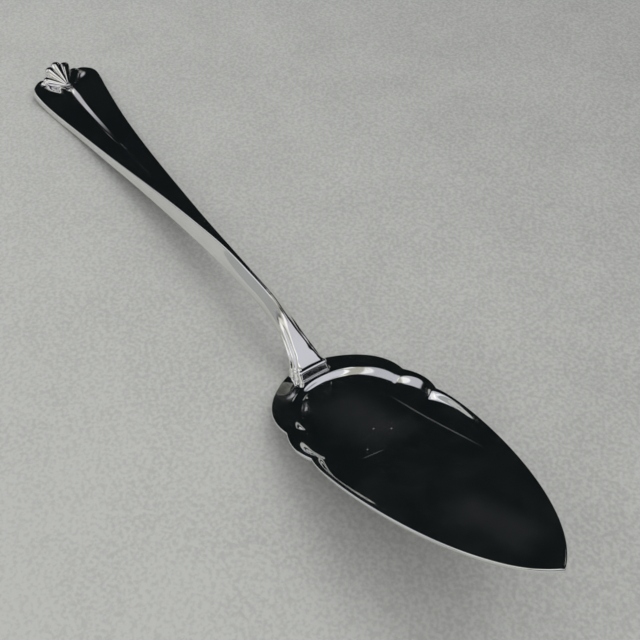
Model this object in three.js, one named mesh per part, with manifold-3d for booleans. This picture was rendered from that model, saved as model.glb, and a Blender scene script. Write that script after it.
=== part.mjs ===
// Cake server of silver plate: a rolled handle with a shell end, and a stepped, scalloped blade.
import * as THREE from "three";
import { mergeVertices } from "three/addons/utils/BufferGeometryUtils.js";
import Module from "manifold-3d";

const wasm = await Module();
wasm.setup();
const { clamp, smoothstep, lerp } = THREE.MathUtils;

// Driving sizes in millimetres. X runs from the handle to the tip, Y across, Z up from the rim of the blade.
const bladeLength = 89;
const bladeHalfWidth = 17.7;
const sheetThickness = 1.05;
const sheetEdgeRound = 0.3;
const panelDepth = 1.38;
const handleReach = 136.5;
const handleRise = 55.4;
const handleHalfWidth = 11.15;
const footSize = 10;
const reedDepth = 0.42;
const grooveWidening = 38;
const grooveLength = 45;
const hollowShoulder = 3.6;
const shellLength = 10.9;
const shellLobeRadius = 1.6;
const jointGap = 0.3;
const solderThickness = 0.4;
const solderFlare = 0.3;

// Counts.
const flankReeds = 3;
const pointsPerReed = 4;
const stationsPerSpan = 3;
const shellLobes = 5;
const stepRings = 5;

// The blade's three lines, half of each: runs of Bezier points, as shares of its length and half width.
// Each line has the heel, the small lobe, the shoulder and the leaf, so that their cusps lie on one crease.
const outlineShares = [
  [[0, 0], [0, 0.22], [0.072, 1.011], [0.228, 0.915]],
  [[0.228, 0.915], [0.293, 1.068], [0.36, 0.95]],
  [[0.36, 0.95], [0.38, 0.979], [0.424, 0.985], [0.479, 0.965]],
  [[0.479, 0.965], [0.646, 0.904], [0.921, 0.608], [1, 0]],
];
const stepTopShares = [
  [[0.089, 0], [0.0865, 0.26], [0.118, 0.768], [0.236, 0.819]],
  [[0.236, 0.819], [0.3006, 1.051], [0.358, 0.887]],
  [[0.358, 0.887], [0.3775, 0.932], [0.421, 0.946], [0.4775, 0.921]],
  [[0.4775, 0.921], [0.643, 0.859], [0.901, 0.582], [0.982, 0]],
];
const stepFootShares = [
  [[0.1, 0], [0.098, 0.203], [0.137, 0.599], [0.254, 0.633]],
  [[0.254, 0.633], [0.2826, 0.873], [0.3674, 0.763]],
  [[0.3674, 0.763], [0.389, 0.842], [0.421, 0.904], [0.474, 0.876]],
  [[0.474, 0.876], [0.638, 0.814], [0.883, 0.548], [0.964, 0]],
];
const samplesPerRun = [16, 8, 6, 20];
const stepFadeFromShare = 0.36;
const stepFadeToShare = 0.66;

// The handle's two edge lines. A row is the crest's reach, rise and half width, then the skirt's, as shares.
const handleShares = [
  [-0.9861, 0.9188, 0.502, -0.9883, 0.9043, 0.538],
  [-0.9773, 0.9305, 0.637, -0.9824, 0.9088, 0.682],
  [-0.9626, 0.9224, 0.838, -0.9685, 0.8971, 0.879],
  [-0.9473, 0.9025, 0.968, -0.9538, 0.8755, 1],
  [-0.8982, 0.8357, 0.909, -0.9037, 0.8051, 0.95],
  [-0.7773, 0.7383, 0.699, -0.781, 0.704, 0.738],
  [-0.6498, 0.6588, 0.522, -0.6535, 0.62, 0.592],
  [-0.5238, 0.5939, 0.364, -0.5275, 0.5496, 0.475],
  [-0.4081, 0.5379, 0.235, -0.4125, 0.481, 0.386],
  [-0.2989, 0.4801, 0.13, -0.3048, 0.4125, 0.305],
  [-0.1985, 0.426, 0.06, -0.2066, 0.3502, 0.255],
  [-0.1099, 0.3592, 0.0386, -0.1209, 0.2807, 0.2215],
];
// The neck and the foot go on in the same way, as shares of the foot's size.
const footShares = [
  [-0.74, 1.73, 0.04, -0.96, 1.34, 0.235],
  [-0.34, 1.46, 0.04, -0.6, 1.14, 0.24],
  [-0.1, 1.22, 0.042, -0.32, 0.93, 0.24],
  [0.09, 0.96, 0.062, -0.18, 0.77, 0.245],
  [0.31, 0.655, 0.12, -0.02, 0.59, 0.27],
  [0.44, 0.51, 0.16, 0.09, 0.43, 0.3],
  [0.52, 0.38, 0.215, 0.14, 0.31, 0.33],
  [0.6, 0.285, 0.285, 0.14, 0.2, 0.355],
  [0.66, 0.25, 0.343, 0.13, 0.14, 0.38],
];
const baseHalfWidthShares = [0.355, 0.4];
const baseReachShares = [0.725, 0.125];

// Shares of the handle's section. Two rolls fall to a V groove, and a hollow at the end holds the shell.
const rollSinkShare = 0.1;
const creaseShare = 0.045;
const grooveShare = 0.17;
const grooveSlope = 0.42;
const hollowReachShare = 0.932;
const hollowSlant = 0.68;
const hollowDepthShare = 0.85;
const hollowRimShare = 0.7;
const reedsFromShare = -0.35;
const reedsToShare = 0.45;
const bellyShare = 0.25;
const flankBulgeShare = 0.06;
const dishShare = 0.16;
const rollPointShares = [0.12, 0.3, 0.5, 0.7, 0.88];
const bellyPointShares = [0.66, 0.33];

// Shares of the shell: its lobes spread like a fan, and the outer ones lie lower.
const lobeSpreadDegrees = 20.2;
const lobeRootShare = 0.35;
const lobeReachShare = 0.8;
const outerLobeReachShare = 0.77;
const lobeRiseShare = 0.57;
const outerLobeDropShare = 0.32;
const shellRootReachShare = 0.935;
const shellRootRiseShare = 0.878;
const lobeFlatness = 0.7;
const backingShare = 0.75;
const backingDropShare = 0.7;
const lobeRings = 7;
const lobeSides = 14;

// A closed skin over rings of equal length, with a triangulated cap at both ends.
function skin(rings, capOf) {
  const n = rings[0].length;
  const index = [];
  for (let r = 0; r + 1 < rings.length; r++)
    for (let i = 0; i < n; i++) {
      const [a, b] = [r * n + i, r * n + ((i + 1) % n)];
      index.push(a, b, b + n, a, b + n, a + n);
    }
  const last = (rings.length - 1) * n;
  for (const [a, b, c] of capOf(rings[0])) index.push(a, c, b);
  for (const [a, b, c] of capOf(rings.at(-1))) index.push(last + a, last + b, last + c);
  const points = rings.flat().flatMap((p) => [p.x, p.y, p.z]);
  const geometry = new THREE.BufferGeometry();
  geometry.setAttribute("position", new THREE.Float32BufferAttribute(points, 3));
  geometry.setIndex(index);
  return geometry;
}

function solidOf(geometry) {
  const { index, attributes } = mergeVertices(geometry);
  return new wasm.Manifold(
    new wasm.Mesh({
      numProp: 3,
      vertProperties: Float32Array.from(attributes.position.array),
      triVerts: Uint32Array.from(index.array),
    }),
  );
}

function geometryOf(solid) {
  const { vertProperties, triVerts } = solid.getMesh();
  const geometry = new THREE.BufferGeometry();
  geometry.setAttribute("position", new THREE.BufferAttribute(vertProperties, 3));
  geometry.setIndex(new THREE.BufferAttribute(triVerts, 1));
  return geometry;
}

function meshOf(name, geometry, material) {
  const shaded = geometry.toNonIndexed();
  shaded.computeVertexNormals();
  const mesh = new THREE.Mesh(shaded, material);
  mesh.name = name;
  return mesh;
}

// One of the blade's lines, sampled from the heel to the tip on the far side.
function bladeLine(runs) {
  const points = [];
  runs.forEach((shares, run) => {
    const ends = shares.map(([x, y]) => new THREE.Vector2(x * bladeLength, y * bladeHalfWidth));
    const Curve = ends.length === 3 ? THREE.QuadraticBezierCurve : THREE.CubicBezierCurve;
    points.push(...new Curve(...ends).getPoints(samplesPerRun[run]).slice(run ? 1 : 0));
  });
  return points;
}

// A line moved inwards along its own normals.
function inset(line, distance) {
  return line.map((p, i) => {
    const before = i ? line[i - 1] : new THREE.Vector2(line[1].x, -line[1].y);
    const after = line[i + 1] || new THREE.Vector2(line[i - 1].x, -line[i - 1].y);
    const along = after.clone().sub(before).normalize();
    return new THREE.Vector2(p.x + along.y * distance, p.y - along.x * distance);
  });
}

// The whole ring of a half line: up the far side to the tip and back down the near side.
function bladeRing(line, heightAt) {
  const far = line.map((p) => new THREE.Vector3(p.x, p.y, heightAt(p)));
  const near = far.slice(1, -1).reverse();
  return [...far, ...near.map((p) => new THREE.Vector3(p.x, -p.y, p.z))];
}

function bladeGeometry() {
  const outline = bladeLine(outlineShares);
  const stepTop = bladeLine(stepTopShares);
  const stepFoot = bladeLine(stepFootShares);
  const depthAt = (p) => {
    const share = p.x / bladeLength;
    return panelDepth * (1 - smoothstep(share, stepFadeFromShare, stepFadeToShare));
  };
  // The rings of one face, from the panel out over the step to the rim.
  const faceRings = (drop) => {
    const rings = [];
    for (let k = stepRings; k >= 0; k--) {
      const share = k / stepRings;
      const line = stepTop.map((p, i) => p.clone().lerp(stepFoot[i], share));
      rings.push(bladeRing(line, (p) => -drop - depthAt(p) * smoothstep(share, 0, 1)));
    }
    rings.push(bladeRing(inset(outline, sheetEdgeRound), () => -drop));
    return rings;
  };
  const rings = [
    ...faceRings(0),
    bladeRing(outline, () => -sheetEdgeRound),
    bladeRing(outline, () => sheetEdgeRound - sheetThickness),
    ...faceRings(sheetThickness).reverse(),
  ];
  // The panel is capped by strips straight across it.
  const cap = [];
  const n = rings[0].length;
  for (let i = 0; i < n / 2; i++) {
    const [a, b, c, d] = [i, i + 1, n - i - 1, (n - i) % n];
    if (b !== c) cap.push([a, b, c]);
    if (a !== d) cap.push([a, c, d]);
  }
  return skin(rings, () => cap);
}

// Half of the handle's section, from the middle of its top to the skirt, as offsets across and up.
function halfSection(crest, skirt) {
  const [w, wide] = [crest.y, skirt.y];
  const thick = Math.hypot(crest.x - skirt.x, crest.z - skirt.z);
  const fromEnd = handleReach + crest.x;
  const groove = w * (creaseShare + grooveShare * Math.exp(-((fromEnd / grooveWidening) ** 2)));
  const grooveDepth = (groove * grooveSlope) / (1 + (fromEnd / grooveLength) ** 4);
  const foot = smoothstep(crest.x / footSize, reedsFromShare, reedsToShare);
  const fan = smoothstep(crest.x / footSize, 0, footShares.at(-1)[0]);
  const riseAt = (y) => {
    const roll = rollSinkShare * w * (1 - fan) * (1 - y / w) ** 2;
    const vee = grooveDepth * Math.max(0, 1 - y / groove);
    const edge = hollowReachShare * handleReach + hollowSlant * y;
    const toHollow = (crest.x + edge) / Math.hypot(1, hollowSlant);
    const rim = 1 - smoothstep(y / w, hollowRimShare, 1);
    const hollow = rim * clamp(1 - toHollow / hollowShoulder, 0, 1) ** 2;
    const dish = dishShare * w * fan * (1 - (y / w) ** 2);
    return -lerp(Math.min(roll + vee, hollowDepthShare * thick), hollowDepthShare * thick, hollow) - dish;
  };
  const across = [0, groove / 2, groove, ...rollPointShares.map((share) => lerp(groove, w, share))];
  const top = across.map((y) => [y, riseAt(y)]);
  const flank = [];
  const slope = Math.hypot(wide - w, thick);
  const steps = flankReeds * pointsPerReed;
  for (let i = 0; i <= steps; i++) {
    const share = i / steps;
    const reed = reedDepth * foot * Math.abs(Math.sin(Math.PI * flankReeds * share));
    const out = reed + flankBulgeShare * (wide - w) * 4 * share * (1 - share);
    const across = lerp(w, wide, share) + (out * thick) / slope;
    flank.push([across, -thick * share + (out * (wide - w)) / slope]);
  }
  const belly = bellyShare * (wide - w);
  const under = [...bellyPointShares, 0].map((share) => [wide * share, -thick - belly * (1 - share ** 2)]);
  return [...top, ...flank, ...under];
}

// A whole ring of the handle between its crest line and its skirt line.
function handleRing(crest, skirt) {
  const up = new THREE.Vector3(crest.x - skirt.x, 0, crest.z - skirt.z).normalize();
  const place = ([across, rise]) =>
    new THREE.Vector3(crest.x + up.x * rise, across, crest.z + up.z * rise);
  const half = halfSection(crest, skirt);
  const near = half.slice(1, -1).reverse();
  return [...half.map(place), ...near.map(([across, rise]) => place([-across, rise]))];
}

function handleRows() {
  const size = (row, reach, rise, width) => [
    new THREE.Vector3(row[0] * reach, row[2] * width, row[1] * rise),
    new THREE.Vector3(row[3] * reach, row[5] * width, row[4] * rise),
  ];
  return [
    ...handleShares.map((row) => size(row, handleReach, handleRise, handleHalfWidth)),
    ...footShares.map((row) => size(row, footSize, footSize, footSize)),
  ];
}

// The foot's flat underside, which lies along the rim.
function baseRing() {
  const level = jointGap + solderThickness + jointGap;
  const [crest, skirt] = [0, 1].map(
    (k) => new THREE.Vector3(baseReachShares[k] * footSize, baseHalfWidthShares[k] * footSize, level),
  );
  return handleRing(crest, skirt);
}

// A cap over a section that may have a hollow, seen along the handle.
function sectionCap(ring) {
  const up = ring[0].clone().sub(ring[ring.length / 2]);
  const outline = ring.map((p) => new THREE.Vector2(p.y, p.dot(up)));
  return THREE.ShapeUtils.triangulateShape(outline, []).map(([a, b, c]) => [a, c, b]);
}

// One lobe of the shell: a drop that widens from the root to a round end.
function shellLobe(order, radiusShare, drop) {
  const outer = Math.abs(order) / ((shellLobes - 1) / 2);
  const angle = THREE.MathUtils.degToRad(lobeSpreadDegrees * order);
  const reach = shellLength * lerp(lobeReachShare, outerLobeReachShare, outer);
  const rise = shellLength * (lobeRiseShare - outerLobeDropShare * outer ** 2);
  const root = new THREE.Vector3(-shellRootReachShare * handleReach, 0, shellRootRiseShare * handleRise);
  const reachVector = new THREE.Vector3(-reach * Math.cos(angle), reach * Math.sin(angle), rise);
  const along = reachVector.clone().normalize();
  const side = new THREE.Vector3(0, -1, 0).addScaledVector(along, along.y).normalize();
  const up = side.clone().cross(along).multiplyScalar(-1);
  const radius = shellLobeRadius * radiusShare;
  const length = reachVector.length() - radius;
  const ringAt = (distance, r) => {
    const centre = root.clone().addScaledVector(along, distance).addScaledVector(up, -drop);
    return Array.from({ length: lobeSides }, (_, i) => {
      const turn = (2 * Math.PI * i) / lobeSides;
      return centre
        .clone()
        .addScaledVector(side, r * Math.cos(turn))
        .addScaledVector(up, r * lobeFlatness * Math.sin(turn));
    });
  };
  const rings = [ringAt(0, radius * lobeRootShare), ringAt(length, radius)];
  for (let k = 1; k < lobeRings; k++) {
    const turn = (Math.PI / 2) * (k / lobeRings);
    rings.push(ringAt(length + radius * Math.sin(turn), radius * Math.cos(turn)));
  }
  const cap = Array.from({ length: lobeSides - 2 }, (_, i) => [0, i + 1, i + 2]);
  return solidOf(skin(rings, () => cap));
}

function handleGeometry() {
  const rows = handleRows();
  const [crests, skirts] = [0, 1].map(
    (k) => new THREE.CatmullRomCurve3(rows.map((row) => row[k]), false, "centripetal"),
  );
  const stations = (rows.length - 1) * stationsPerSpan;
  const rings = [];
  for (let i = 0; i <= stations; i++)
    rings.push(handleRing(crests.getPoint(i / stations), skirts.getPoint(i / stations)));
  rings.push(baseRing());
  rings.reverse();
  let body = solidOf(skin(rings, sectionCap));
  const orders = Array.from({ length: shellLobes }, (_, i) => i - (shellLobes - 1) / 2);
  const lobes = orders.map((order) => shellLobe(order, 1, 0));
  const backing = orders.map((order) =>
    shellLobe(order, backingShare, backingDropShare * shellLobeRadius),
  );
  body = body.add(wasm.Manifold.hull(backing));
  for (const lobe of lobes) body = body.add(lobe);
  return geometryOf(body);
}

// The solder is a thin film under the foot with a flared edge.
function solderGeometry() {
  const base = baseRing();
  const centre = new THREE.Box3().setFromPoints(base).getCenter(new THREE.Vector3());
  const flared = (flare, level) =>
    base.map((p) => {
      const out = new THREE.Vector3(p.x - centre.x, p.y - centre.y, 0);
      const share = 1 + flare / out.length();
      return new THREE.Vector3(centre.x + out.x * share, centre.y + out.y * share, level);
    });
  const rings = [flared(solderFlare, jointGap), flared(0, jointGap + solderThickness)];
  return skin(rings, sectionCap);
}

const polished = new THREE.MeshStandardMaterial({ color: 0xc8cccd, roughness: 0.08, metalness: 1 });
const bladePlate = new THREE.MeshStandardMaterial({ color: 0xc4c9ca, roughness: 0.1, metalness: 1 });
const solder = new THREE.MeshStandardMaterial({ color: 0xd8dadb, roughness: 0.25, metalness: 1 });

const server = new THREE.Group();
server.name = "cake_server";
const handle = meshOf("handle", handleGeometry(), polished);
const blade = meshOf("blade", bladeGeometry(), bladePlate);
server.add(handle, blade, meshOf("solder_seam", solderGeometry(), solder));

// The pitch at which the heel of the blade and the end of the handle both rest on the table.
function restPitch() {
  const points = (mesh) => {
    const p = mesh.geometry.attributes.position;
    return Array.from({ length: p.count }, (_, i) => new THREE.Vector3().fromBufferAttribute(p, i));
  };
  const [handlePoints, bladePoints] = [points(handle), points(blade)];
  let pitch = 0;
  for (let pass = 0; pass < 4; pass++) {
    const height = (p) => p.x * Math.sin(pitch) + p.z * Math.cos(pitch);
    const heel = bladePoints.reduce((low, p) => (height(p) < height(low) ? p : low));
    const behind = handlePoints.filter((p) => p.x < heel.x);
    pitch = Math.min(...behind.map((p) => Math.atan2(p.z - heel.z, heel.x - p.x)));
  }
  return pitch;
}
server.rotation.y = -restPitch();

// The origin is the middle of the server's box, on the table.
const part = new THREE.Group();
part.name = "cake_server_at_rest";
part.add(server);
const box = new THREE.Box3().setFromObject(part, true);
const middle = box.getCenter(new THREE.Vector3());
server.position.set(-middle.x, -middle.y, -box.min.z);

const size = box.getSize(new THREE.Vector3());
console.log("size", size.x.toFixed(2), size.y.toFixed(2), size.z.toFixed(2));
console.log("pitch", THREE.MathUtils.radToDeg(-server.rotation.y).toFixed(2));
console.log("shift", server.position.toArray().map((v) => v.toFixed(3)).join(" "));

export default part;
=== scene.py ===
# %% [markdown]
# # A silver plated cake server
# The server rests on the end of its arched handle and on the heel of its blade. It is two pieces of
# polished metal and a seam of solder. Almost nothing on it has a colour of its own: the eye sees the
# room in its surface. So the work goes into smooth forms, crisp edges and a believable room.

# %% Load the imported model
import math
import bmesh
import bpy
from mathutils import Matrix, Vector


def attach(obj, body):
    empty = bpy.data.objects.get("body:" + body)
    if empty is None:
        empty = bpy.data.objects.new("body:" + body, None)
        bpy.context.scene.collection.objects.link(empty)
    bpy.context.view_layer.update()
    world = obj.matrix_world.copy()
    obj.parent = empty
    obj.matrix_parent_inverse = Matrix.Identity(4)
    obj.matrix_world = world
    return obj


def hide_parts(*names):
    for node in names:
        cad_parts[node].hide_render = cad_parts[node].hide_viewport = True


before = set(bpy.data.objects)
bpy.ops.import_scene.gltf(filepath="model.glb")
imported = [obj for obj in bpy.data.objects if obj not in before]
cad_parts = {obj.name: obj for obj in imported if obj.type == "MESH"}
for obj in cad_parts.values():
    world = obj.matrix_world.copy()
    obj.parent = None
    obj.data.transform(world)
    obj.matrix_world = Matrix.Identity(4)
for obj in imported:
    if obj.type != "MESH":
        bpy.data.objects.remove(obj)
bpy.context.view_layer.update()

# %% [markdown]
# ## The server's own frame
# It is easiest to model the server flat, in millimetres: X from the handle to the tip, Y across and
# Z up from the rim of the blade. One matrix then turns millimetres into metres, tilts the server to
# its resting pitch and moves it over the origin. The pitch and the shift are those of the packed
# model.

# %% From the server's own frame to the room
per_metre = 1000
rest_pitch = math.radians(20.1765)
rest_shift = Vector((0.0317088, 0, 0.0008821))
to_room = (Matrix.Translation(rest_shift) @ Matrix.Rotation(-rest_pitch, 4, "Y")
           @ Matrix.Scale(1 / per_metre, 4))
print("heel in the room", to_room @ Vector((0, 0, 0)))

# %% [markdown]
# ## Two small formulas
# Forms that start and end without a kink need a share that rises softly from nought to one, and
# nearly everything is a mix of two values.

# %% Soft rise and mix
def smoothstep(value, low, high):
    """Rises softly from 0 at the low value to 1 at the high value."""
    share = min(1, max(0, (value - low) / (high - low)))
    return share * share * (3 - 2 * share)


def lerp(a, b, share):
    """Goes from a to b as the share goes from 0 to 1."""
    return a + (b - a) * share


print("a quarter of the way, the soft rise is at", smoothstep(0.25, 0, 1))

# %% [markdown]
# ## Lofting by extruding a ring
# All three pieces are lofts: a closed section that changes shape as it travels. In bmesh a loft
# needs two operators. `create_circle` makes a ring of vertices, which are moved onto the first
# section, and `extrude_edge_only` draws a wall from it, whose far ring is moved onto the next
# section, and so on. Bridging ready-made rings would also do, but it guesses which vertex belongs to
# which, and on a wide flat ring it can guess wrong. An extruded vertex is joined to the vertex that
# it came from.

# %% Rings and skins
def edges_of(ring):
    """The edges that join the vertices of a ring, in the order of the ring."""
    members = set(ring)
    return list(dict.fromkeys(e for v in ring for e in v.link_edges if e.other_vert(v) in members))


def skin(bm, sections):
    """A skin through closed sections of equal length. Returns its first ring and its last."""
    first = ring = bmesh.ops.create_circle(bm, segments=len(sections[0]), radius=1)["verts"]
    for vert, point in zip(ring, sections[0]):
        vert.co = point
    for points in sections[1:]:
        made = bmesh.ops.extrude_edge_only(bm, edges=edges_of(ring))["geom"]
        fresh = {item for item in made if isinstance(item, bmesh.types.BMVert)}
        ring = [next(e.other_vert(v) for e in v.link_edges if e.other_vert(v) in fresh)
                for v in ring]
        for vert, point in zip(ring, points):
            vert.co = point
    return first, ring


# %% [markdown]
# ## From a skin to a piece
# A finished skin gets normals that point outwards, goes to its place in the room and becomes an
# object that rides on the server's one body. The object itself stays at the origin, unturned and
# unscaled.

# %% Drawing in and placing
def draw_in(bm, distance):
    """Draws a skin in along its normals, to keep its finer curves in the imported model's box."""
    bmesh.ops.recalc_face_normals(bm, faces=bm.faces)
    bm.normal_update()
    for vert in bm.verts:
        vert.co -= vert.normal * distance


def piece_from(bm, name):
    """Puts a finished bmesh in the room as a smooth shaded object that rides on the server."""
    bmesh.ops.recalc_face_normals(bm, faces=bm.faces)
    bm.transform(to_room)
    mesh = bpy.data.meshes.new(name)
    bm.to_mesh(mesh)
    bm.free()
    mesh.shade_smooth()
    piece = bpy.data.objects.new(name, mesh)
    bpy.context.scene.collection.objects.link(piece)
    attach(piece, "root")
    print(name, len(mesh.vertices), "vertices", len(mesh.polygons), "faces")
    return piece


# %% [markdown]
# ## The blade
# The blade is one stamping. Three lines describe it: the outline, the top of the step and the foot
# of the step. Each is four Bezier runs on either side, from the heel over two small lobes to the
# leaf, and the runs meet in cusps. The points are shares of the blade's length and of half its
# width.

# %% The blade's sizes and lines
blade_length, blade_half_width = 89, 17.7
sheet_thickness, sheet_edge_round = 1.05, 0.3
panel_depth = 1.38
outline_shares = [
    [(0, 0), (0, 0.22), (0.072, 1.011), (0.228, 0.915)],
    [(0.228, 0.915), (0.293, 1.068), (0.36, 0.95)],
    [(0.36, 0.95), (0.38, 0.979), (0.424, 0.985), (0.479, 0.965)],
    [(0.479, 0.965), (0.646, 0.904), (0.921, 0.608), (1, 0)],
]
step_top_shares = [
    [(0.089, 0), (0.0865, 0.26), (0.118, 0.768), (0.236, 0.819)],
    [(0.236, 0.819), (0.3006, 1.051), (0.358, 0.887)],
    [(0.358, 0.887), (0.3775, 0.932), (0.421, 0.946), (0.4775, 0.921)],
    [(0.4775, 0.921), (0.643, 0.859), (0.901, 0.582), (0.982, 0)],
]
step_foot_shares = [
    [(0.1, 0), (0.098, 0.203), (0.137, 0.599), (0.254, 0.633)],
    [(0.254, 0.633), (0.2826, 0.873), (0.3674, 0.763)],
    [(0.3674, 0.763), (0.389, 0.842), (0.421, 0.904), (0.474, 0.876)],
    [(0.474, 0.876), (0.638, 0.814), (0.883, 0.548), (0.964, 0)],
]
samples_per_run = [28, 18, 12, 40]


def bezier(ends, share):
    """A point of a quadratic or cubic run: neighbours are mixed until one point is left."""
    while len(ends) > 1:
        ends = [a.lerp(b, share) for a, b in zip(ends, ends[1:])]
    return ends[0]


def blade_line(runs):
    """Half a line, from the heel to the tip."""
    line = []
    for shares, samples in zip(runs, samples_per_run):
        ends = [Vector((x * blade_length, y * blade_half_width)) for x, y in shares]
        line += [bezier(ends, i / samples) for i in range(1 if line else 0, samples + 1)]
    return line


outline, step_top, step_foot = map(blade_line, (outline_shares, step_top_shares, step_foot_shares))
print("outline of", len(outline), "points, widest", round(max(p.y for p in outline), 2), "mm")

# %% [markdown]
# ## The step and the panel
# Between its top and its foot the step drops in a soft S, and towards the tip it fades away until
# the blade is flat. The rim's edge is rounded over. Rings run from the panel out over the step,
# round the edge and back underneath. Two more rings, just inside the step, keep the shading of the
# panel flat.

# %% Rings of the blade's faces
step_rings = 14
fade_from, fade_to = 0.36, 0.66
panel_ring_insets = (0.3, 0.15)
rim_ring_inset = 1.6 * sheet_edge_round


def panel_drop(x):
    """How far the panel lies below the rim."""
    return panel_depth * (1 - smoothstep(x / blade_length, fade_from, fade_to))


def both_sides(line, height_at):
    """A closed ring from half a line: the far side outwards and the near side back."""
    far = [Vector((p.x, p.y, height_at(p))) for p in line]
    return far + [Vector((p.x, -p.y, p.z)) for p in far[-2:0:-1]]


def moved_in(line, distance):
    """The line moved inwards along its own normals."""
    moved = []
    for i, p in enumerate(line):
        before = line[i - 1] if i else Vector((line[1].x, -line[1].y))
        after = line[i + 1] if i + 1 < len(line) else Vector((line[i - 1].x, -line[i - 1].y))
        along = (after - before).normalized()
        moved.append(Vector((p.x + along.y * distance, p.y - along.x * distance)))
    return moved


def face_rings(drop):
    """One face of the sheet, from the panel to the rim."""
    rings = [both_sides(moved_in(step_foot, inset), lambda p: -drop - panel_drop(p.x))
             for inset in panel_ring_insets]
    for k in range(step_rings, -1, -1):
        share = k / step_rings
        line = [a.lerp(b, share) for a, b in zip(step_top, step_foot)]
        rings.append(both_sides(line, lambda p: -drop - panel_drop(p.x) * smoothstep(share, 0, 1)))
    rings.append(both_sides(moved_in(outline, rim_ring_inset), lambda p: -drop))
    return rings


upper_face, lower_face = face_rings(0), face_rings(sheet_thickness)
print(len(upper_face), "rings on each face")

# %% Rings round the blade's edge
edge_rings = 6


def edge_ring(turn):
    """A ring on the rounded edge. The turn goes from 0 at the upper face to pi at the lower one."""
    upper = turn <= math.pi / 2
    lift = sheet_edge_round * (math.cos(turn) - (1 if upper else -1))
    level = lift if upper else lift - sheet_thickness
    line = moved_in(outline, sheet_edge_round * (1 - math.sin(turn)))
    return both_sides(line, lambda p: level)


rounding = [edge_ring(math.pi * k / edge_rings) for k in range(edge_rings + 1)]
print(len(rounding), "rings round the edge")

# %% [markdown]
# ## The blade's skin
# The rings are lofted in one go, and the panel then closes both faces. It rises towards the tip, so
# one wide face wouldn't be flat: strips from side to side follow it instead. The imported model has
# coarser facets, so the skin is drawn in by a hair to stay within its box.

# %% The blade as one closed skin
kept_inside = 0.025


def strips_across(bm, ring):
    """Closes a panel with quads from its far side to its near side."""
    count = len(ring)
    for i in range(count // 2):
        corners = [ring[i], ring[i + 1], ring[count - i - 1], ring[(count - i) % count]]
        bm.faces.new(list(dict.fromkeys(corners)))


blade_bm = bmesh.new()
for ring in skin(blade_bm, upper_face + rounding + lower_face[::-1]):
    strips_across(blade_bm, ring)
draw_in(blade_bm, kept_inside)
blade = piece_from(blade_bm, "blade_sheet")
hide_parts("blade")

# %% [markdown]
# ## The handle
# The handle is one forging. Its section is lofted between two lines: the crest, where the top meets
# the flank, and the skirt, where the flank meets the underside. Each row below gives both lines at
# one station: how far along, how high and how far out the crest lies, then the same of the skirt. The
# rows of the foot are shares of its own size. A centripetal Catmull-Rom curve runs through the
# stations, and a few rounds of averaging take out the last unevenness, because a mirror finish shows
# every change of curvature.

# %% The handle's stations
handle_reach, handle_rise, handle_half_width, foot_size = 136.5, 55.4, 11.15, 10
handle_shares = [
    (-0.9861, 0.9188, 0.502, -0.9883, 0.9043, 0.538),
    (-0.9773, 0.9305, 0.637, -0.9824, 0.9088, 0.682),
    (-0.9626, 0.9224, 0.838, -0.9685, 0.8971, 0.879),
    (-0.9473, 0.9025, 0.968, -0.9538, 0.8755, 1),
    (-0.8982, 0.8357, 0.909, -0.9037, 0.8051, 0.95),
    (-0.7773, 0.7383, 0.699, -0.781, 0.704, 0.738),
    (-0.6498, 0.6588, 0.522, -0.6535, 0.62, 0.592),
    (-0.5238, 0.5939, 0.364, -0.5275, 0.5496, 0.475),
    (-0.4081, 0.5379, 0.235, -0.4125, 0.481, 0.386),
    (-0.2989, 0.4801, 0.13, -0.3048, 0.4125, 0.305),
    (-0.1985, 0.426, 0.06, -0.2066, 0.3502, 0.255),
    (-0.1099, 0.3592, 0.0386, -0.1209, 0.2807, 0.2215),
]
foot_shares = [
    (-0.74, 1.73, 0.04, -0.96, 1.34, 0.235),
    (-0.34, 1.46, 0.04, -0.6, 1.14, 0.24),
    (-0.1, 1.22, 0.042, -0.32, 0.93, 0.24),
    (0.09, 0.96, 0.062, -0.18, 0.77, 0.245),
    (0.31, 0.655, 0.12, -0.02, 0.59, 0.27),
    (0.44, 0.51, 0.16, 0.09, 0.43, 0.3),
    (0.52, 0.38, 0.215, 0.14, 0.31, 0.33),
    (0.6, 0.285, 0.285, 0.14, 0.2, 0.355),
    (0.66, 0.25, 0.343, 0.13, 0.14, 0.38),
]
stations_per_span = 8
evening_rounds = 6


def rows_of(shares, reach, rise, width):
    """The crest and the skirt at each station, in millimetres."""
    return [
        (Vector((row[0] * reach, row[2] * width, row[1] * rise)),
         Vector((row[3] * reach, row[5] * width, row[4] * rise)))
        for row in shares
    ]


def through(a, b, c, d, share):
    """A point between b and c of a centripetal Catmull-Rom curve."""
    ab, bc, cd = ((q - p).length ** 0.5 for p, q in ((a, b), (b, c), (c, d)))
    leaving = ((b - a) / ab - (c - a) / (ab + bc) + (c - b) / bc) * bc
    arriving = ((c - b) / bc - (d - b) / (bc + cd) + (d - c) / cd) * bc
    s2, s3 = share ** 2, share ** 3
    return (b * (2 * s3 - 3 * s2 + 1) + leaving * (s3 - 2 * s2 + share)
            + c * (3 * s2 - 2 * s3) + arriving * (s3 - s2))


def even_curve(points):
    """A smooth line through the stations of the crest or of the skirt."""
    ends = [points[0] * 2 - points[1], *points, points[-1] * 2 - points[-2]]
    line = [
        through(*ends[i:i + 4], k / stations_per_span)
        for i in range(len(points) - 1) for k in range(stations_per_span)
    ] + [points[-1].copy()]
    for _ in range(evening_rounds):
        inner = [(a + b * 2 + c) / 4 for a, b, c in zip(line, line[1:], line[2:])]
        line = [line[0], *inner, line[-1]]
    return line


rows = rows_of(handle_shares, handle_reach, handle_rise, handle_half_width)
rows += rows_of(foot_shares, foot_size, foot_size, foot_size)
crest_line, skirt_line = (even_curve([row[side] for row in rows]) for side in (0, 1))
print(len(crest_line), "stations along the handle")

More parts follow.
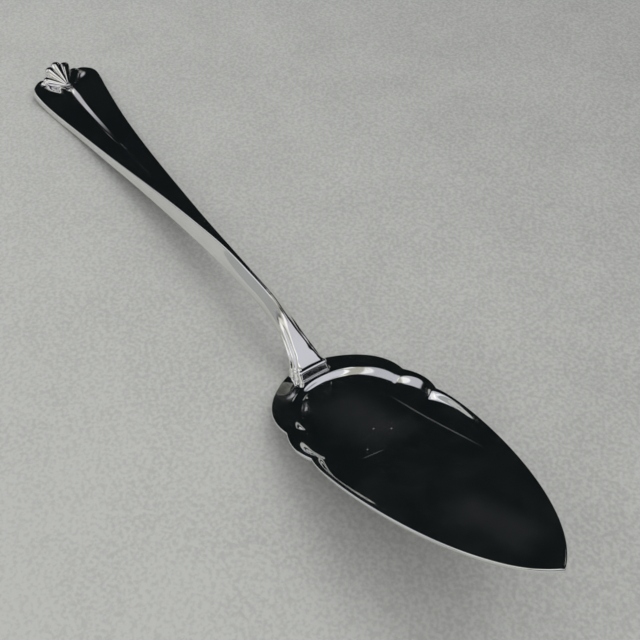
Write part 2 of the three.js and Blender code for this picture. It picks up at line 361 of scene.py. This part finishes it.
# %% [markdown]
# ## The section of the handle
# Half of a section runs from the middle of the top: out of the sunk groove, over the roll to the
# crest, down the flank to the skirt and under the belly. The next cells make these stretches one by
# one, as points across and up. First the top: two rolls that fall to a V groove. The groove starts
# a little way from the end and dies out towards the neck. In front of the shell the rolls are
# hollowed on a slanted line, and at the foot the top dishes into a fan.

# %% The top of a section
roll_sink_share, crease_share, groove_share = 0.1, 0.045, 0.08
groove_slope, groove_widening, groove_length = 0.42, 60, 52
groove_start, groove_full = 8, 13
hollow_reach, hollow_slant, hollow_shoulder = 127.2, 0.68, 4.0
hollow_start, hollow_full = 1.5, 3
hollow_depth_share, hollow_rim_share = 0.85, 0.3
dish_share = 0.06
groove_points, roll_points = 9, 18


def thickness(crest, skirt):
    """The height of the flank, square to the handle."""
    return math.hypot(crest.x - skirt.x, crest.z - skirt.z)


def top_of(crest, thick):
    """The top from the middle to the crest, below the level of the crest."""
    w = crest.y
    from_end = handle_reach + crest.x
    groove = w * (crease_share + groove_share * math.exp(-(from_end / groove_widening) ** 2))
    groove_depth = groove * groove_slope / (1 + (from_end / groove_length) ** 4)
    groove_depth *= smoothstep(from_end, groove_start, groove_full)
    fan = smoothstep(crest.x / foot_size, 0, foot_shares[-1][0])
    deepest = hollow_depth_share * thick

    def height_at(y):
        roll = roll_sink_share * w * (1 - fan) * (1 - y / w) ** 2
        sunk = min(roll + groove_depth * max(0, 1 - y / groove), deepest)
        to_hollow = (crest.x + hollow_reach + hollow_slant * y) / math.hypot(1, hollow_slant)
        hollow = 1 - smoothstep(to_hollow, 0, hollow_shoulder)
        inside_rim = 1 - smoothstep(y / w, hollow_rim_share, 1)
        hollow *= smoothstep(y, hollow_start, hollow_full) * inside_rim
        return -lerp(sunk, deepest, hollow) - dish_share * w * fan * (1 - (y / w) ** 2)

    across = [groove * k / groove_points for k in range(groove_points)]
    across += [lerp(groove, w, math.sin(math.pi / 2 * k / roll_points)) for k in range(roll_points)]
    return [(y, height_at(y)) for y in across]


middle_crest, middle_skirt = (line[len(line) // 2] for line in (crest_line, skirt_line))
middle_top = top_of(middle_crest, thickness(middle_crest, middle_skirt))
print("half way along, the groove lies", round(-middle_top[0][1], 2), "mm below the crest")

# %% [markdown]
# ## The flank and the belly
# The flank bulges a little, and more at the neck, where it carries the load. Near the foot it
# breaks into three reeds, which are a wave laid over the bulge. The belly is a shallow arc.

# %% The flank and the belly of a section
flank_reeds, points_per_reed = 3, 10
reed_depth, reeds_from, reeds_to = 0.5, -0.35, 0.45
flank_bulge_share, neck_bulge_share, bulge_lean = 0.06, 0.34, 1.35
neck_from, neck_to = -32, -14
belly_share, belly_points = 0.25, 5


def flank_of(crest, wide, thick):
    """The flank from the crest down to the skirt."""
    w = crest.y
    reeds = smoothstep(crest.x / foot_size, reeds_from, reeds_to)
    neck = smoothstep(crest.x, neck_from, neck_to)
    bulge = (wide - w) * lerp(flank_bulge_share, neck_bulge_share, neck)
    slope = math.hypot(wide - w, thick)
    steps = flank_reeds * points_per_reed
    flank = []
    for k in range(steps + 1):
        share = k / steps
        out = reed_depth * reeds * abs(math.sin(math.pi * flank_reeds * share))
        out += bulge * math.sin(math.pi * share ** bulge_lean)
        flank.append((lerp(w, wide, share) + out * thick / slope,
                      -thick * share + out * (wide - w) / slope))
    return flank


def belly_of(crest, wide, thick):
    """The underside from beside the skirt to the middle."""
    belly = belly_share * (wide - crest.y)
    return [(wide * k / belly_points, -thick - belly * (1 - (k / belly_points) ** 2))
            for k in range(belly_points - 1, -1, -1)]


middle_belly = belly_of(middle_crest, middle_skirt.y, thickness(middle_crest, middle_skirt))
print("half way along, the handle is", round(-middle_belly[-1][1], 2), "mm thick")

# %% [markdown]
# ## The whole section
# The corners at the crest and the skirt are rounded as a buffing wheel leaves them, a little more at
# the end of the handle. The half section then leans with the line from the skirt to the crest and
# is mirrored.

# %% A section, rounded and mirrored
corner_round, end_corner_round, thin_corner_share = 0.3, 0.5, 0.6
end_length = 15


def rounded(points, corner, reach):
    """Rounds a corner: the points near it slide on to a curve from one side of it to the other."""
    points = [Vector(p) for p in points]
    along = [0]
    for a, b in zip(points, points[1:]):
        along.append(along[-1] + (b - a).length)
    along = [s - along[corner] for s in along]
    at = points[corner]
    start = at + (points[corner - 1] - at).normalized() * reach
    end = at + (points[corner + 1] - at).normalized() * reach
    return [bezier([start, at, end], 0.5 + 0.5 * s / reach) if abs(s) < reach else p
            for s, p in zip(along, points)]


def half_section(crest, skirt):
    """From the middle of the top round to the middle of the belly."""
    wide, thick = skirt.y, thickness(crest, skirt)
    top, flank = top_of(crest, thick), flank_of(crest, wide, thick)
    near_end = 1 - smoothstep(handle_reach + crest.x, 0, end_length)
    end_round = min(end_corner_round, thin_corner_share * thick)
    points = rounded(top + flank + belly_of(crest, wide, thick), len(top),
                     lerp(corner_round, end_round, near_end))
    return rounded(points, len(top) + len(flank) - 1, corner_round)


def handle_section(crest, skirt):
    """A closed section in the server's own frame."""
    up = Vector((crest.x - skirt.x, 0, crest.z - skirt.z)).normalized()
    half = [Vector((crest.x, p.x, crest.z)) + up * p.y for p in half_section(crest, skirt)]
    return half + [Vector((p.x, -p.y, p.z)) for p in half[-2:0:-1]]


print("a section has", len(handle_section(crest_line[0], skirt_line[0])), "points")

# %% [markdown]
# ## The handle's skin
# The last rings take the foot straight down to the rim of the blade. Both ends are closed with a
# face that is set in a little, so that its smooth shading doesn't smear over the edge.

# %% The handle as one closed skin
foot_level, base_rings, end_inset = 0.05, 4, 0.12
base_half_width_shares, base_reach_shares = (0.355, 0.4), (0.725, 0.125)
base_crest, base_skirt = (
    Vector((reach * foot_size, width * foot_size, foot_level))
    for reach, width in zip(base_reach_shares, base_half_width_shares)
)
sections = [handle_section(c, s) for c, s in zip(crest_line, skirt_line)]
for k in range(1, base_rings + 1):
    share = k / base_rings
    sections.append(handle_section(crest_line[-1].lerp(base_crest, share),
                                   skirt_line[-1].lerp(base_skirt, share)))
handle_bm = bmesh.new()
for ring in skin(handle_bm, sections):
    cap = bmesh.ops.contextual_create(handle_bm, geom=edges_of(ring))["faces"]
    bmesh.ops.inset_individual(handle_bm, faces=cap, thickness=end_inset)
print(len(sections), "sections of", len(sections[0]), "points")

# %% [markdown]
# ## The shell
# A scallop shell closes the handle: five lobes that spread like a fan from one root. A lobe is a
# ball stretched into a drop, thin at the root and round at the end. A wider, lower drop backs it and
# fills the gaps between the lobes. The shell is part of the forging, so the drops join its mesh.

# %% The axes of the lobes
lobes_a_side, shell_length = 2, 10.9
lobe_spread = math.radians(20.2)
middle_reach_share, outer_reach_share = 0.8, 0.77
middle_rise_share, outer_rise_loss = 0.57, 0.32
shell_root = Vector((-0.935 * handle_reach, 0, 0.878 * handle_rise))


def lobe_axis(order):
    """The vector from the root to the end of a lobe. The middle lobe is number 0."""
    outer = abs(order) / lobes_a_side
    reach = shell_length * lerp(middle_reach_share, outer_reach_share, outer)
    rise = shell_length * (middle_rise_share - outer_rise_loss * outer ** 2)
    turn = lobe_spread * order
    return Vector((-reach * math.cos(turn), reach * math.sin(turn), rise))


print("the middle lobe is", round(lobe_axis(0).length, 2), "mm long")

# %% The drops of the shell
lobe_radius, lobe_flatness, lobe_root_share, lobe_squareness = 1.6, 0.7, 0.35, 12
backing_radius, backing_flatness, backing_sink = 1.1 * lobe_radius, 0.5, 0.5 * lobe_radius
nearly_nothing = 1e-6


def add_drop(bm, order, radius, flatness, sink):
    """A drop along a lobe's axis: the ball's poles are at the root and at the round end."""
    axis = lobe_axis(order)
    along = axis.normalized()
    side = (Vector((0, -1, 0)) + along * along.y).normalized()
    up = along.cross(side)
    straight = axis.length - radius
    for vert in bmesh.ops.create_uvsphere(bm, u_segments=24, v_segments=20, radius=1)["verts"]:
        x, y, z = vert.co
        if z < 0:
            width = lerp(1, lobe_root_share, -z) * math.sqrt(max(0, 1 - z ** lobe_squareness))
            width /= max(nearly_nothing, math.hypot(x, y))
            local = Vector((x * width, y * width, straight * (1 + z) / radius))
        else:
            local = Vector((x, y, straight / radius + z))
        vert.co = (shell_root + side * (local.x * radius)
                   + up * (local.y * radius * flatness - sink) + along * (local.z * radius))


for order in range(-lobes_a_side, lobes_a_side + 1):
    add_drop(handle_bm, order, lobe_radius, lobe_flatness, 0)
    add_drop(handle_bm, order, backing_radius, backing_flatness, backing_sink)
handle = piece_from(handle_bm, "handle_forging")
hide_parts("handle")

# %% [markdown]
# ## The seam of solder
# The foot is soldered to the rim. The seam is a thin fillet that hugs the foot and flares out on to
# the blade, so it is lofted from the foot's own base section.

# %% The fillet
seam_height, seam_flare, seam_rings = 0.55, 0.34, 6
seam_inside, seam_inner_level, seam_lap = 0.3, 0.06, 0.02


def around_foot(out, level):
    """A ring round the foot's base section, moved out and set to a level."""
    base = handle_section(base_crest, base_skirt)
    middle = sum(base, Vector()) / len(base)
    ring = []
    for p in base:
        away = Vector((p.x - middle.x, p.y - middle.y, 0))
        ring.append(Vector((p.x, p.y, level)) + away.normalized() * out)
    return ring


seam_sections = [around_foot(-seam_inside, seam_inner_level)]
for k in range(seam_rings + 1):
    turn = math.pi / 2 * k / seam_rings
    seam_sections.append(around_foot(seam_flare * (1 - math.sin(turn)) - seam_lap,
                                     seam_lap + seam_height * (1 - math.cos(turn))))
seam_sections.append(around_foot(-seam_inside, seam_height))
seam_bm = bmesh.new()
for ring in skin(seam_bm, seam_sections):
    bmesh.ops.contextual_create(seam_bm, geom=edges_of(ring))
seam = piece_from(seam_bm, "solder_fillet")
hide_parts("solder_seam")

# %% [markdown]
# ## Silver
# Polished silver plate is a metal that is nearly white. What makes it look used is small: a thin
# film where it was wiped, hair scratches from washing, and a long scratch and pin pricks in the
# panel. A darker tint painted on the underside stands in for the shade there. These finishes are
# woven from a few kinds of node, so a few helpers keep the lines short.

# %% Helpers for nodes
def link(tree, source, target):
    tree.links.new(source, target)


def new_node(tree, kind, **values):
    """A node with its properties and inputs set by name. Input names take _ for a space."""
    node = tree.nodes.new("ShaderNode" + kind)
    for name, value in values.items():
        if hasattr(node, name):
            setattr(node, name, value)
        else:
            node.inputs[name.replace("_", " ")].default_value = value
    return node


def math_node(tree, operation, a, b=0):
    """One step of arithmetic on one or two terms, each a number or the output of a node."""
    node = new_node(tree, "Math", operation=operation)
    for socket, value in zip(node.inputs, (a, b)):
        if isinstance(value, (int, float)):
            socket.default_value = value
        else:
            link(tree, value, socket)
    return node.outputs[0]


def mixed(tree, share, first, second, how="MIX"):
    """A mix of two colours, each three numbers or the output of a node."""
    node = new_node(tree, "Mix", data_type="RGBA", blend_type=how)
    for socket, value in zip((node.inputs[0], node.inputs[6], node.inputs[7]), (share, first, second)):
        if isinstance(value, tuple):
            socket.default_value = (*value, 1)
        elif isinstance(value, (int, float)):
            socket.default_value = value
        else:
            link(tree, value, socket)
    return node.outputs[2]


def between(tree, value, low, high, to_low=0, to_high=1):
    """Maps a range of a pattern smoothly to another range."""
    node = new_node(tree, "MapRange", interpolation_type="SMOOTHSTEP",
                    From_Min=low, From_Max=high, To_Min=to_low, To_Max=to_high)
    link(tree, value, node.inputs["Value"])
    return node.outputs[0]


# %% [markdown]
# ## Patterns
# All patterns read Object coordinates, turned to the server's own pitch and scaled so that one unit
# is a millimetre. Hair scratches are noise squeezed in one axis and cut near its middle value. A
# single scratch or a patch of wear gets its own small frame, laid between two points of the blade.

# %% Noise, hair scratches and spots
scratch_stretch, patch_scale, patch_from, patch_to = 0.05, 0.09, 0.5, 0.62
spot_core, spot_half_length, middle_of_noise = (0.1, 0.2), 0.5, 0.5


def millimetres(tree, angle=0, stretch=(1, 1, 1)):
    """Object coordinates in millimetres, turned and stretched."""
    place = new_node(tree, "TexCoord").outputs["Object"]
    turn = new_node(tree, "Mapping", vector_type="POINT", Rotation=(0, rest_pitch, angle),
                    Scale=[per_metre * s for s in stretch])
    link(tree, place, turn.inputs["Vector"])
    return turn.outputs[0]


def noise(tree, where, scale, detail, distortion=0.0):
    node = new_node(tree, "TexNoise", Scale=scale, Detail=detail, Distortion=distortion)
    link(tree, where, node.inputs["Vector"])
    return node.outputs["Fac"]


def hair_scratches(tree, angle, fineness, share):
    """Thin lines along one direction, in patches."""
    where = millimetres(tree, angle, (scratch_stretch, fineness, scratch_stretch))
    ridges = noise(tree, where, 1, 1.0, 0.2)
    away = math_node(tree, "ABSOLUTE", math_node(tree, "SUBTRACT", ridges, middle_of_noise))
    line = between(tree, away, 0, share, 1, 0)
    patch = noise(tree, millimetres(tree, angle), patch_scale, 2.0)
    return math_node(tree, "MULTIPLY", line, between(tree, patch, patch_from, patch_to))


def spot(tree, start, end, width):
    """A soft streak or patch between two points of the server's own frame."""
    own = new_node(tree, "Mapping", vector_type="POINT", Location=to_room.inverted().translation,
                   Rotation=(0, rest_pitch, 0), Scale=(per_metre, per_metre, per_metre))
    link(tree, new_node(tree, "TexCoord").outputs["Object"], own.inputs["Vector"])
    along = Vector(end) - Vector(start)
    local = new_node(tree, "Mapping", vector_type="TEXTURE", Location=(*start, 0),
                     Rotation=(0, 0, math.atan2(along.y, along.x)), Scale=(along.length, width, 1))
    link(tree, own.outputs[0], local.inputs["Vector"])
    apart = new_node(tree, "SeparateXYZ")
    link(tree, local.outputs[0], apart.inputs[0])
    aside = math_node(tree, "ABSOLUTE", apart.outputs["Y"])
    from_start = math_node(tree, "SUBTRACT", apart.outputs["X"], spot_half_length)
    off_middle = math_node(tree, "ABSOLUTE", from_start)
    return math_node(tree, "MULTIPLY", between(tree, aside, spot_core[0], 1, 1, 0),
                     between(tree, off_middle, spot_core[1], spot_half_length, 1, 0))


# %% [markdown]
# ## A worn metal
# The film and the scratches lower Metallic by a hair, so that they pick up a little of the room's
# even light, as grease and fine scratches do on a mirror. Clouds of dullness vary the tint and the
# roughness. Faces that look down get a darker tint, which is painted shade. The relief is a bump of
# a few hundredths of a millimetre at most: slow waves from the making, with the scratches cut in.

# %% A finish in silver
cloud_scale, cloud_from, cloud_to = 0.06, 0.35, 0.7
film_scale, film_from, film_to = 0.16, 0.42, 0.8
# The colour and the facing range of the painted shade on faces that look down.
painted_shade_colour, painted_shade_full_below, painted_shade_none_above = (0.16, 0.155, 0.14), -0.75, -0.3
mark_film, mark_roughness, cloud_roughness, base_roughness = 0.012, 0.10, 0.8, 0.6
wave_scale, wave_height, relief_strength = 0.12, 4.0, 0.6


def with_painted_underside_shade(tree, colour):
    """Darkens a colour on faces that look down: painted shade."""
    facing = new_node(tree, "SeparateXYZ")
    link(tree, new_node(tree, "NewGeometry").outputs["Normal"], facing.inputs[0])
    share = between(tree, facing.outputs["Z"], painted_shade_full_below, painted_shade_none_above, 1, 0)
    return mixed(tree, share, colour, painted_shade_colour)


def film_over(tree, where, marks, haze_share, spots):
    """How much of the metal the film, the scratches and the spots cover."""
    film = between(tree, noise(tree, where, film_scale, 8.0, 0.6), film_from, film_to, 0, haze_share)
    film = math_node(tree, "ADD", film, math_node(tree, "MULTIPLY", marks, mark_film))
    for start, end, width, strength in spots:
        wear = math_node(tree, "MULTIPLY", spot(tree, start, end, width), strength)
        film = math_node(tree, "ADD", film, wear)
    return film


def silver(name, clean, dull, roughness, scratches, relief_height, haze_share, spots=()):
    """A worn silver finish. Scratches is a list of angle, fineness and share. Spots is a list of
    start, end, width and strength. The relief height is in metres."""
    material = bpy.data.materials.new(name)
    material.use_nodes = True
    tree = material.node_tree
    shader = tree.nodes["Principled BSDF"]
    where = millimetres(tree)
    clouds = between(tree, noise(tree, where, cloud_scale, 4.0), cloud_from, cloud_to)
    # The base colour gets painted shade where the faces look down.
    link(tree, with_painted_underside_shade(tree, mixed(tree, clouds, clean, dull)), shader.inputs["Base Color"])
    marks = 0
    for angle, fineness, share in scratches:
        marks = math_node(tree, "MAXIMUM", hair_scratches(tree, angle, fineness, share), marks)
    film = film_over(tree, where, marks, haze_share, spots)
    link(tree, math_node(tree, "SUBTRACT", 1, film), shader.inputs["Metallic"])
    haze = math_node(tree, "MULTIPLY", clouds, roughness * cloud_roughness)
    rough = math_node(tree, "ADD", haze, roughness * base_roughness)
    rough = math_node(tree, "ADD", rough, math_node(tree, "MULTIPLY", marks, mark_roughness))
    link(tree, rough, shader.inputs["Roughness"])
    waves = math_node(tree, "MULTIPLY", noise(tree, where, wave_scale, 1.0), wave_height)
    bump = new_node(tree, "Bump", Strength=relief_strength, Distance=relief_height)
    link(tree, math_node(tree, "SUBTRACT", waves, marks), bump.inputs["Height"])
    link(tree, bump.outputs[0], shader.inputs["Normal"])
    print(name, "has", len(tree.nodes), "nodes")
    return material


# %% [markdown]
# ## The three finishes
# The blade is the best mirror, with fine scratches in three directions and its own marks of wear.
# Each mark is given by its two ends in the server's own frame, its width and its strength: a long
# scratch, a short one, three pin pricks and two wide, faint patches. The handle was wiped more often,
# so it has less film. The solder is duller.

# %% Silver on the pieces
blade_wear = [
    ((23.5, 8.6), (56, 11), 0.3, 0.09),
    ((38.5, -8.6), (39.6, -3), 0.25, 0.09),
    ((31.6, -0.8), (32.2, -0.8), 0.3, 0.2),
    ((34.4, 2), (35, 2), 0.35, 0.2),
    ((36.5, -5.8), (37.1, -5.8), 0.3, 0.2),
    ((12, -2), (42, 1), 9, 0.013),
    ((60, -4), (84, 2), 6, 0.012),
]
handle_silver = silver("handle_silver", (0.90, 0.90, 0.89), (0.84, 0.83, 0.80), 0.07,
                       [(0.05, 7, 0.010), (0.4, 5, 0.006)], 0.000004, 0.002)
blade_silver = silver("blade_silver", (0.90, 0.91, 0.90), (0.82, 0.83, 0.82), 0.06,
                      [(0.5, 4, 0.010), (-0.9, 5, 0.008), (1.4, 3, 0.006)], 0.000003, 0.007,
                      blade_wear)
solder_silver = silver("solder", (0.88, 0.88, 0.87), (0.78, 0.77, 0.74), 0.16,
                       [(0.9, 3, 0.02)], 0.00001, 0.01)
for piece, material in ((handle, handle_silver), (blade, blade_silver), (seam, solder_silver)):
    piece.data.materials.append(material)
print("finishes", [m.name for m in (handle_silver, blade_silver, solder_silver)])

# %% [markdown]
# ## The floor
# A pale, matt, faintly mottled floor, with painted light that makes it a little lighter at the near
# side. It is more than a backdrop here: the flank of the handle and the underside of the blade mirror
# it. It is only as wide as a table, so that low reflections look past its edge into the dark room.
# Its size is in metres.

# %% The floor's plane
floor_half_width = 0.42
floor_bm = bmesh.new()
bmesh.ops.create_grid(floor_bm, x_segments=1, y_segments=1, size=floor_half_width)
floor_mesh = bpy.data.meshes.new("floor")
floor_bm.to_mesh(floor_mesh)
floor_bm.free()
floor = bpy.data.objects.new("floor", floor_mesh)
bpy.context.scene.collection.objects.link(floor)
print("floor", floor.dimensions)

# %% [markdown]
# ## Pale stone
# The stone's tint goes from dark to light with three patterns added up: a slow rise towards the near
# side, which is painted light, a mottle of a few centimetres and a fine grain.

# %% The floor's material
# Where the painted light on the floor is brightest and where it has faded, in millimetres of Y.
painted_light_near_y, painted_light_far_y = -160, 260
stone = bpy.data.materials.new("pale_floor")
stone.use_nodes = True
stone_tree = stone.node_tree
stone_shader = stone_tree.nodes["Principled BSDF"]
stone_shader.inputs["Roughness"].default_value = 0.7
on_floor = millimetres(stone_tree)
apart = new_node(stone_tree, "SeparateXYZ")
link(stone_tree, on_floor, apart.inputs[0])
# The slow rise towards the near side is painted light, not a tint of the stone.
distance = between(stone_tree, apart.outputs["Y"], painted_light_near_y, painted_light_far_y, 0.75, 0)
mottle = between(stone_tree, noise(stone_tree, on_floor, 0.05, 6.0), 0.3, 0.7, 0, 0.12)
grain = between(stone_tree, noise(stone_tree, on_floor, 1.1, 2.0), 0.3, 0.7, 0, 0.4)
painted_light_and_grain = math_node(stone_tree, "ADD", distance, math_node(stone_tree, "ADD", mottle, grain))
stone_tint_and_painted_light = mixed(stone_tree, painted_light_and_grain, (0.33, 0.335, 0.325), (0.60, 0.61, 0.59))
link(stone_tree, stone_tint_and_painted_light, stone_shader.inputs["Base Color"])
floor_mesh.materials.append(stone)
print("the stone has", len(stone_tree.nodes), "nodes")

# %% [markdown]
# ## The room
# A mirror needs something to mirror. Low behind the handle the room is dark, which makes the blade
# and the top of the handle nearly black. A pale ceiling over the front half of the room lights the
# foot and the step. On the near side are a lilac glow, a cream one above it, a low grey wall and a
# window, which makes the cream white of the neck. A skylight near the zenith and a small lamp on the
# far side add the last highlights. The world is a dark colour with these glows added by direction.

# %% Glows by direction
world = bpy.data.worlds.new("room")
bpy.context.scene.world = world
world.use_nodes = True
room = world.node_tree
room.nodes.clear()
toward = new_node(room, "TexCoord").outputs["Generated"]


def glow(direction, outer, inner, colour):
    """Light from around a direction: full inside the inner angle and gone beyond the outer one."""
    facing = new_node(room, "VectorMath", operation="DOT_PRODUCT")
    link(room, toward, facing.inputs[0])
    facing.inputs[1].default_value = Vector(direction).normalized()
    share = between(room, facing.outputs["Value"], math.cos(math.radians(outer)),
                    math.cos(math.radians(inner)))
    return mixed(room, share, (0, 0, 0), colour)


overhead = glow((0, 0, 1), 61, 57, (0.60, 0.60, 0.66))
front_half = glow((1, -0.2, -0.15), 90.5, 86.5, (1, 1, 1))
ceiling = mixed(room, 1, overhead, front_half, "MULTIPLY")
lilac = glow((-0.64, -0.50, 0.59), 23, 18, (0.50, 0.50, 0.55))
cream = glow((-0.15, -0.55, 0.82), 28, 24, (0.42, 0.41, 0.36))
wall = glow((-0.52, -0.83, 0.21), 26, 19, (0.35, 0.36, 0.36))
window = glow((0.10, -0.956, 0.276), 17, 15.5, (0.70, 0.69, 0.64))
skylight = glow((-0.22, -0.02, 0.975), 13.5, 11.5, (0.75, 0.75, 0.76))
lamp = glow((-0.52, 0.62, 0.58), 5, 3.5, (0.75, 0.75, 0.75))
glows = (0.0045, 0.0066, 0.0074)
for light in (ceiling, lilac, cream, wall, window, skylight, lamp):
    glows = mixed(room, 1, glows, light, "ADD")
print("the glows take", len(room.nodes), "nodes")

# %% [markdown]
# ## Two rooms in one
# Only mirrored rays see the dark room and its glows. Matt surfaces and the camera see a plain pale
# room, so the floor is lit evenly.

# %% The world's output
lit = new_node(room, "Background")
link(room, glows, lit.inputs["Color"])
plain = new_node(room, "Background", Color=(0.70, 0.70, 0.69, 1))
rays = new_node(room, "LightPath")
choice = new_node(room, "MixShader")
link(room, rays.outputs["Is Glossy Ray"], choice.inputs[0])
link(room, plain.outputs[0], choice.inputs[1])
link(room, lit.outputs[0], choice.inputs[2])
link(room, choice.outputs[0], new_node(room, "OutputWorld").inputs["Surface"])
print("the room has", len(room.nodes), "nodes")

# %% [markdown]
# ## The key light
# Most of the light comes evenly from the room. The key light is a softbox high on the far side,
# which adds the soft shadow that falls on the near side. The metal doesn't mirror it, because its
# square image would show in the panel.

# %% The key light
def softbox(name, direction, distance, width, height, watts):
    """A rectangular lamp, in a direction from the origin, that faces the origin."""
    lamp = bpy.data.lights.new(name, "AREA")
    lamp.shape = "RECTANGLE"
    lamp.size, lamp.size_y, lamp.energy = width, height, watts
    holder = bpy.data.objects.new(name, lamp)
    bpy.context.scene.collection.objects.link(holder)
    toward_lamp = Vector(direction).normalized()
    turn = toward_lamp.to_track_quat("Z", "Y").to_matrix().to_4x4()
    holder.matrix_world = Matrix.Translation(toward_lamp * distance) @ turn
    return holder


key = softbox("key", (-0.05, 0.45, 0.89), distance=1.6, width=0.9, height=0.9, watts=4)
key.visible_glossy = False
print("key light at", key.matrix_world.translation)

# %% [markdown]
# ## The camera
# The camera stands at the near side of the tip and looks back along the blade, steeply down. Its
# lens is slightly longer than normal.

# %% The camera
camera_data = bpy.data.cameras.new("camera")
camera_data.lens, camera_data.sensor_width = 53.35, 36
camera = bpy.data.objects.new("camera", camera_data)
bpy.context.scene.collection.objects.link(camera)
stand = Vector((0.154479, -0.075930, 0.180932))
looks = Vector((-0.550621, 0.365678, -0.750397))
roll = math.radians(0.351)
camera.matrix_world = (Matrix.Translation(stand)
                       @ looks.to_track_quat("-Z", "Y").to_matrix().to_4x4()
                       @ Matrix.Rotation(-roll, 4, "Z"))
bpy.context.scene.camera = camera
bpy.context.scene.view_settings.view_transform = "Standard"
print("camera at", camera.matrix_world.translation)
